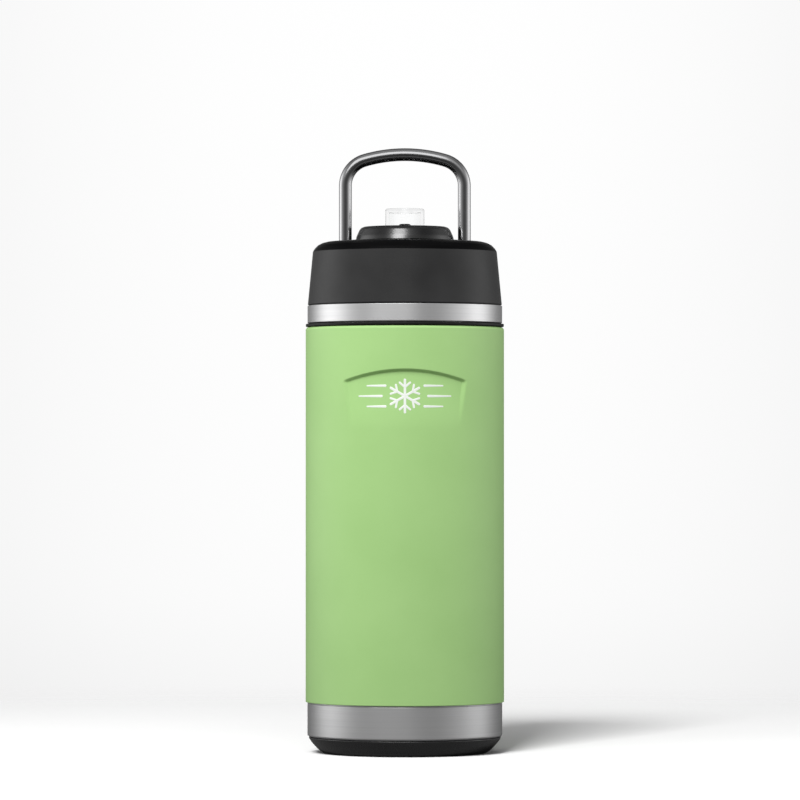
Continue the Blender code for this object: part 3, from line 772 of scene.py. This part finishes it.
path = n.add("ShaderNodeLightPath")
dull = n.add("ShaderNodeBsdfDiffuse")
dull.inputs["Color"].default_value = (0.07, 0.07, 0.07, 1.0)
floor_mix = n.add("ShaderNodeMixShader")
n.link(n.math("MAXIMUM", path.outputs["Is Glossy Ray"], path.outputs["Is Diffuse Ray"]), floor_mix.inputs[0])
n.link(n.bsdf.outputs[0], floor_mix.inputs[1])
n.link(dull.outputs[0], floor_mix.inputs[2])
mixer = n.add("ShaderNodeMixShader")
n.link(fade.outputs[0], mixer.inputs[0])
n.link(floor_mix.outputs[0], mixer.inputs[1])
n.link(see.outputs[0], mixer.inputs[2])
n.link(mixer.outputs[0], n.out.inputs["Surface"])
mesh.materials.append(n.mat)


def area(name, azimuth, elevation, distance, size, power, size_y=None, target=(0, 0, 0.1)):
    """A soft light: azimuth 0 is the camera's side and positive is to its right."""
    a, e = math.radians(azimuth), math.radians(elevation)
    data = bpy.data.lights.new(name, "AREA")
    data.shape = "RECTANGLE"
    data.size, data.size_y = size, size_y or size
    data.energy = power
    obj = bpy.data.objects.new(name, data)
    scene.collection.objects.link(obj)
    t = Vector(target)
    obj.location = t + Vector((math.sin(a) * math.cos(e), -math.cos(a) * math.cos(e), math.sin(e))) * distance
    obj.rotation_euler = (t - obj.location).to_track_quat("-Z", "Y").to_euler()
    return obj


key = area("key", -16, 42, 0.8, 0.66, 6.0, 0.50, (0, 0, 0.13))
ground = area("ground_key", -15, 38, 6.0, 1.7, 790.0)
on_floor = bpy.data.collections.new("on_floor")
scene.collection.children.link(on_floor)
on_floor.objects.link(floor)
ground.light_linking.receiver_collection = on_floor
# the bright rod gets a dimmer copy of the key, the glossy disc a narrower one
rod_key = area("rod_key", -16, 42, 0.8, 0.66, 1.5, 0.50, (0, 0, 0.13))
on_rod = bpy.data.collections.new("on_rod")
scene.collection.children.link(on_rod)
on_rod.objects.link(handle)
rod_key.light_linking.receiver_collection = on_rod
the_rest = bpy.data.collections.new("the_rest")
scene.collection.children.link(the_rest)
the_rest.objects.link(handle)
the_rest.objects.link(spout_base)
for entry in the_rest.collection_objects:
    entry.light_linking.link_state = "EXCLUDE"
key.light_linking.receiver_collection = the_rest
disc_key = area("disc_key", -16, 36, 0.8, 0.34, 11.5, 0.64, (0, 0, 0.13))
on_disc = bpy.data.collections.new("on_disc")
scene.collection.children.link(on_disc)
on_disc.objects.link(spout_base)
disc_key.light_linking.receiver_collection = on_disc

world = bpy.data.worlds.new("studio")
scene.world = world
world.use_nodes = True
wt = world.node_tree
wt.nodes.clear()


def wnode(kind, **props):
    x = wt.nodes.new(kind)
    for k, v in props.items():
        setattr(x, k, v)
    return x


def wmath(op, a, b=0.0, clamp=False):
    x = wnode("ShaderNodeMath", operation=op, use_clamp=clamp)
    for s, v in zip(x.inputs, (a, b)):
        if isinstance(v, (int, float)):
            s.default_value = v
        else:
            wt.links.new(v, s)
    return x.outputs[0]


def wramp(value, stops):
    x = wnode("ShaderNodeValToRGB")
    wt.links.new(value, x.inputs[0])
    ramp = x.color_ramp
    ramp.interpolation = "B_SPLINE"
    while len(ramp.elements) > 1:
        ramp.elements.remove(ramp.elements[-1])
    for i, (p, v) in enumerate(stops):
        e = ramp.elements[0] if i == 0 else ramp.elements.new(p)
        e.position = p
        e.color = (v, v, v, 1)
    return x.outputs[0]


direction = wnode("ShaderNodeTexCoord").outputs["Generated"]
parts = wnode("ShaderNodeSeparateXYZ")
wt.links.new(direction, parts.inputs[0])
turn = wmath("ARCTAN2", parts.outputs[0], wmath("MULTIPLY", parts.outputs[1], -1.0))
turn01 = wmath("ADD", wmath("DIVIDE", turn, 2 * math.pi), 0.5)
ROUND = [(-180, 0.30), (-164, 0.22), (-150, 0.15), (-136, 0.42), (-122, 1.2), (-110, 2.25), (-97, 2.5), (-84, 2.0), (-70, 0.95), (-56, 0.5), (-40, 0.32), (-20, 0.10), (0, 0.04),
         (18, 0.04), (32, 0.12), (46, 0.42), (58, 0.85), (70, 1.15), (80, 1.6), (92, 2.2), (104, 2.1), (116, 1.2), (128, 0.5), (140, 0.28), (152, 0.15), (166, 0.2), (180, 0.30)]
around = wramp(turn01, [((a + 180) / 360, v / 3.0) for a, v in ROUND])
up01 = wmath("ADD", wmath("MULTIPLY", parts.outputs[2], 0.5), 0.5)
height = wramp(up01, [(0.30, 0.1), (0.44, 1.0), (0.62, 1.0), (0.74, 0.35), (0.86, 0.08)])
glow = wmath("MULTIPLY", wmath("MULTIPLY", around, 3.0), height)
FRONT = [(-180, 0.0), (-100, 0.0), (-75, 0.1), (-55, 0.35), (-30, 0.40), (-5, 0.28), (12, 0.62), (28, 0.75), (42, 0.3), (58, 0.05), (100, 0.0), (180, 0.0)]
front = wmath("MULTIPLY", wramp(turn01, [((a + 180) / 360, v) for a, v in FRONT]), wramp(up01, [(0.6, 0.0), (0.70, 1.0), (0.9, 1.0), (0.97, 0.3)]))
ceiling = wramp(up01, [(0.88, 0.0), (0.98, 0.35)])
glow = wmath("ADD", wmath("ADD", glow, front), ceiling)
seen = wnode("ShaderNodeLightPath")
back = wmath("MAXIMUM", seen.outputs["Is Camera Ray"], seen.outputs["Is Transmission Ray"])
sky = wnode("ShaderNodeBackground")
wt.links.new(glow, sky.inputs["Color"])
sky.inputs["Strength"].default_value = 1.0
plain = wnode("ShaderNodeBackground")
# the paper behind: white, with painted shade that greys it a little to the sides and toward the horizon
side_painted_shade = wramp(wmath("ABSOLUTE", parts.outputs[0]), [(0.0, 1.0), (0.03, 0.997), (0.055, 0.972), (0.075, 0.947), (0.2, 0.9)])
low_painted_shade = wramp(wmath("ADD", parts.outputs[2], 0.5), [(0.446, 0.90), (0.455, 0.925), (0.474, 0.985), (0.52, 0.99), (0.57, 1.0)])
wt.links.new(wmath("MULTIPLY", side_painted_shade, low_painted_shade), plain.inputs["Color"])
mixer = wnode("ShaderNodeMixShader")
wt.links.new(back, mixer.inputs[0])
wt.links.new(sky.outputs[0], mixer.inputs[1])
wt.links.new(plain.outputs[0], mixer.inputs[2])
wout = wnode("ShaderNodeOutputWorld")
wt.links.new(mixer.outputs[0], wout.inputs["Surface"])
